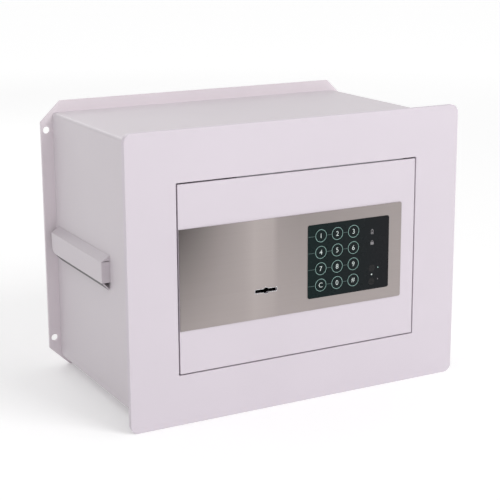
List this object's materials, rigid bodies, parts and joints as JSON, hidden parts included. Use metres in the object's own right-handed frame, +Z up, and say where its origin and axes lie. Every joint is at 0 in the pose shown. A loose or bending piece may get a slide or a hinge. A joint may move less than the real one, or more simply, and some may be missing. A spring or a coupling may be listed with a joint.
{
  "type": "recessed wall safe",
  "caption": "Recessed steel wall safe with a flush hinged door, brushed steel fascia, keypad, emergency keyhole, sliding bolts, a mortared body and a drilled rear flange.",
  "frame": {"origin": "bottom centre of the bounding box, on the surface the safe stands on", "axes": "+X along the front plate to the right as seen from the front, +Y from the front towards the back plate, +Z up"},
  "size_m": [0.4, 0.2416, 0.312],
  "materials": {
    "white_powder_coat": "satin powder coat",
    "brushed_steel": "horizontally brushed",
    "zinc_plate": "zinc plated, dull",
    "bright_steel": "turned and polished",
    "brass": "machined",
    "grey_felt": "needle felt",
    "keypad_gloss": "gloss",
    "charcoal_plastic": "fine moulded texture",
    "circuit_board": "solder mask",
    "battery_jacket": "printed sleeve",
    "cable_jacket": "satin"
  },
  "bodies": {
    "housing": {"front_plate": "white_powder_coat", "body_shell": "white_powder_coat", "back_plate": "white_powder_coat", "side_anchor_left": "white_powder_coat", "side_anchor_right": "white_powder_coat", "hinge_bracket_upper": "zinc_plate", "hinge_bracket_lower": "zinc_plate", "hinge_pin_upper": "bright_steel", "hinge_pin_lower": "bright_steel", "hinge_washer": "brass", "bolt_keeper": "zinc_plate", "door_stop_upper": "zinc_plate", "door_stop_lower": "zinc_plate", "door_push_spring": "bright_steel", "floor_mat": "grey_felt"},
    "door": {"door_leaf": "white_powder_coat", "steel_fascia": "brushed_steel", "hinge_knuckle_upper": "zinc_plate", "hinge_knuckle_lower": "zinc_plate", "bolt_guide": "zinc_plate", "lock_case": "zinc_plate", "lock_case_cover": "zinc_plate", "mechanism_bracket": "zinc_plate", "gear_motor": "bright_steel", "cover_screw_1": "bright_steel", "cover_screw_2": "bright_steel", "cover_screw_3": "bright_steel", "cover_screw_4": "bright_steel", "keypad_overlay": "keypad_gloss", "keypad_housing": "charcoal_plastic", "dome_sheet": "charcoal_plastic", "inner_cover": "charcoal_plastic", "battery_holder": "charcoal_plastic", "keypad_board": "circuit_board", "control_board": "circuit_board", "battery_1": "battery_jacket", "battery_2": "battery_jacket", "battery_3": "battery_jacket", "battery_4": "battery_jacket", "ribbon_cable": "cable_jacket"},
    "bolt_work": {"bolt_carriage": "zinc_plate", "bolt_upper": "bright_steel", "bolt_lower": "bright_steel"},
    "motor_pinion": {"motor_pinion": "brass"},
    "key_rotor": {"key_rotor": "brass"},
    "battery_lid": {"battery_lid": "charcoal_plastic"},
    "key_1": {"key_1": "keypad_gloss"},
    "key_2": {"key_2": "keypad_gloss"},
    "key_3": {"key_3": "keypad_gloss"},
    "key_4": {"key_4": "keypad_gloss"},
    "key_5": {"key_5": "keypad_gloss"},
    "key_6": {"key_6": "keypad_gloss"},
    "key_7": {"key_7": "keypad_gloss"},
    "key_8": {"key_8": "keypad_gloss"},
    "key_9": {"key_9": "keypad_gloss"},
    "key_c": {"key_c": "keypad_gloss"},
    "key_0": {"key_0": "keypad_gloss"},
    "key_hash": {"key_hash": "keypad_gloss"}
  },
  "joints": [
    {"name": "door_swing", "type": "hinge", "parent": "housing", "child": "door", "pos_m": [-0.1115, -0.1102, 0.155], "axis": [0, 0, -1], "range_deg": [0, 100]},
    {"name": "bolt_slide", "type": "slide", "parent": "door", "child": "bolt_work", "axis": [1, 0, 0], "range_m": [0, 0.014]},
    {"name": "pinion_turn", "type": "hinge", "parent": "door", "child": "motor_pinion", "pos_m": [-0.01, -0.0917, 0.157], "axis": [0, 1, 0], "range_deg": [-115, 0]},
    {"name": "key_turn", "type": "hinge", "parent": "door", "child": "key_rotor", "pos_m": [-0.0436, -0.1072, 0.1314], "axis": [0, 1, 0], "range_deg": [0, 89.5]},
    {"name": "battery_lid_slide", "type": "slide", "parent": "door", "child": "battery_lid", "axis": [1, 0, 0], "range_m": [0, 0.05]},
    {"name": "key_1_press", "type": "slide", "parent": "door", "child": "key_1", "axis": [0, 1, 0], "range_m": [0, 0.0005], "stiffness_N_per_m": 2000},
    {"name": "key_2_press", "type": "slide", "parent": "door", "child": "key_2", "axis": [0, 1, 0], "range_m": [0, 0.0005], "stiffness_N_per_m": 2000},
    {"name": "key_3_press", "type": "slide", "parent": "door", "child": "key_3", "axis": [0, 1, 0], "range_m": [0, 0.0005], "stiffness_N_per_m": 2000},
    {"name": "key_4_press", "type": "slide", "parent": "door", "child": "key_4", "axis": [0, 1, 0], "range_m": [0, 0.0005], "stiffness_N_per_m": 2000},
    {"name": "key_5_press", "type": "slide", "parent": "door", "child": "key_5", "axis": [0, 1, 0], "range_m": [0, 0.0005], "stiffness_N_per_m": 2000},
    {"name": "key_6_press", "type": "slide", "parent": "door", "child": "key_6", "axis": [0, 1, 0], "range_m": [0, 0.0005], "stiffness_N_per_m": 2000},
    {"name": "key_7_press", "type": "slide", "parent": "door", "child": "key_7", "axis": [0, 1, 0], "range_m": [0, 0.0005], "stiffness_N_per_m": 2000},
    {"name": "key_8_press", "type": "slide", "parent": "door", "child": "key_8", "axis": [0, 1, 0], "range_m": [0, 0.0005], "stiffness_N_per_m": 2000},
    {"name": "key_9_press", "type": "slide", "parent": "door", "child": "key_9", "axis": [0, 1, 0], "range_m": [0, 0.0005], "stiffness_N_per_m": 2000},
    {"name": "key_c_press", "type": "slide", "parent": "door", "child": "key_c", "axis": [0, 1, 0], "range_m": [0, 0.0005], "stiffness_N_per_m": 2000},
    {"name": "key_0_press", "type": "slide", "parent": "door", "child": "key_0", "axis": [0, 1, 0], "range_m": [0, 0.0005], "stiffness_N_per_m": 2000},
    {"name": "key_hash_press", "type": "slide", "parent": "door", "child": "key_hash", "axis": [0, 1, 0], "range_m": [0, 0.0005], "stiffness_N_per_m": 2000}
  ],
  "couplings": [
    {"joint": "pinion_turn", "follows": "bolt_slide", "rad_per_m": -142.86},
    {"joint": "key_turn", "follows": "bolt_slide", "rad_per_m": 111.11}
  ]
}
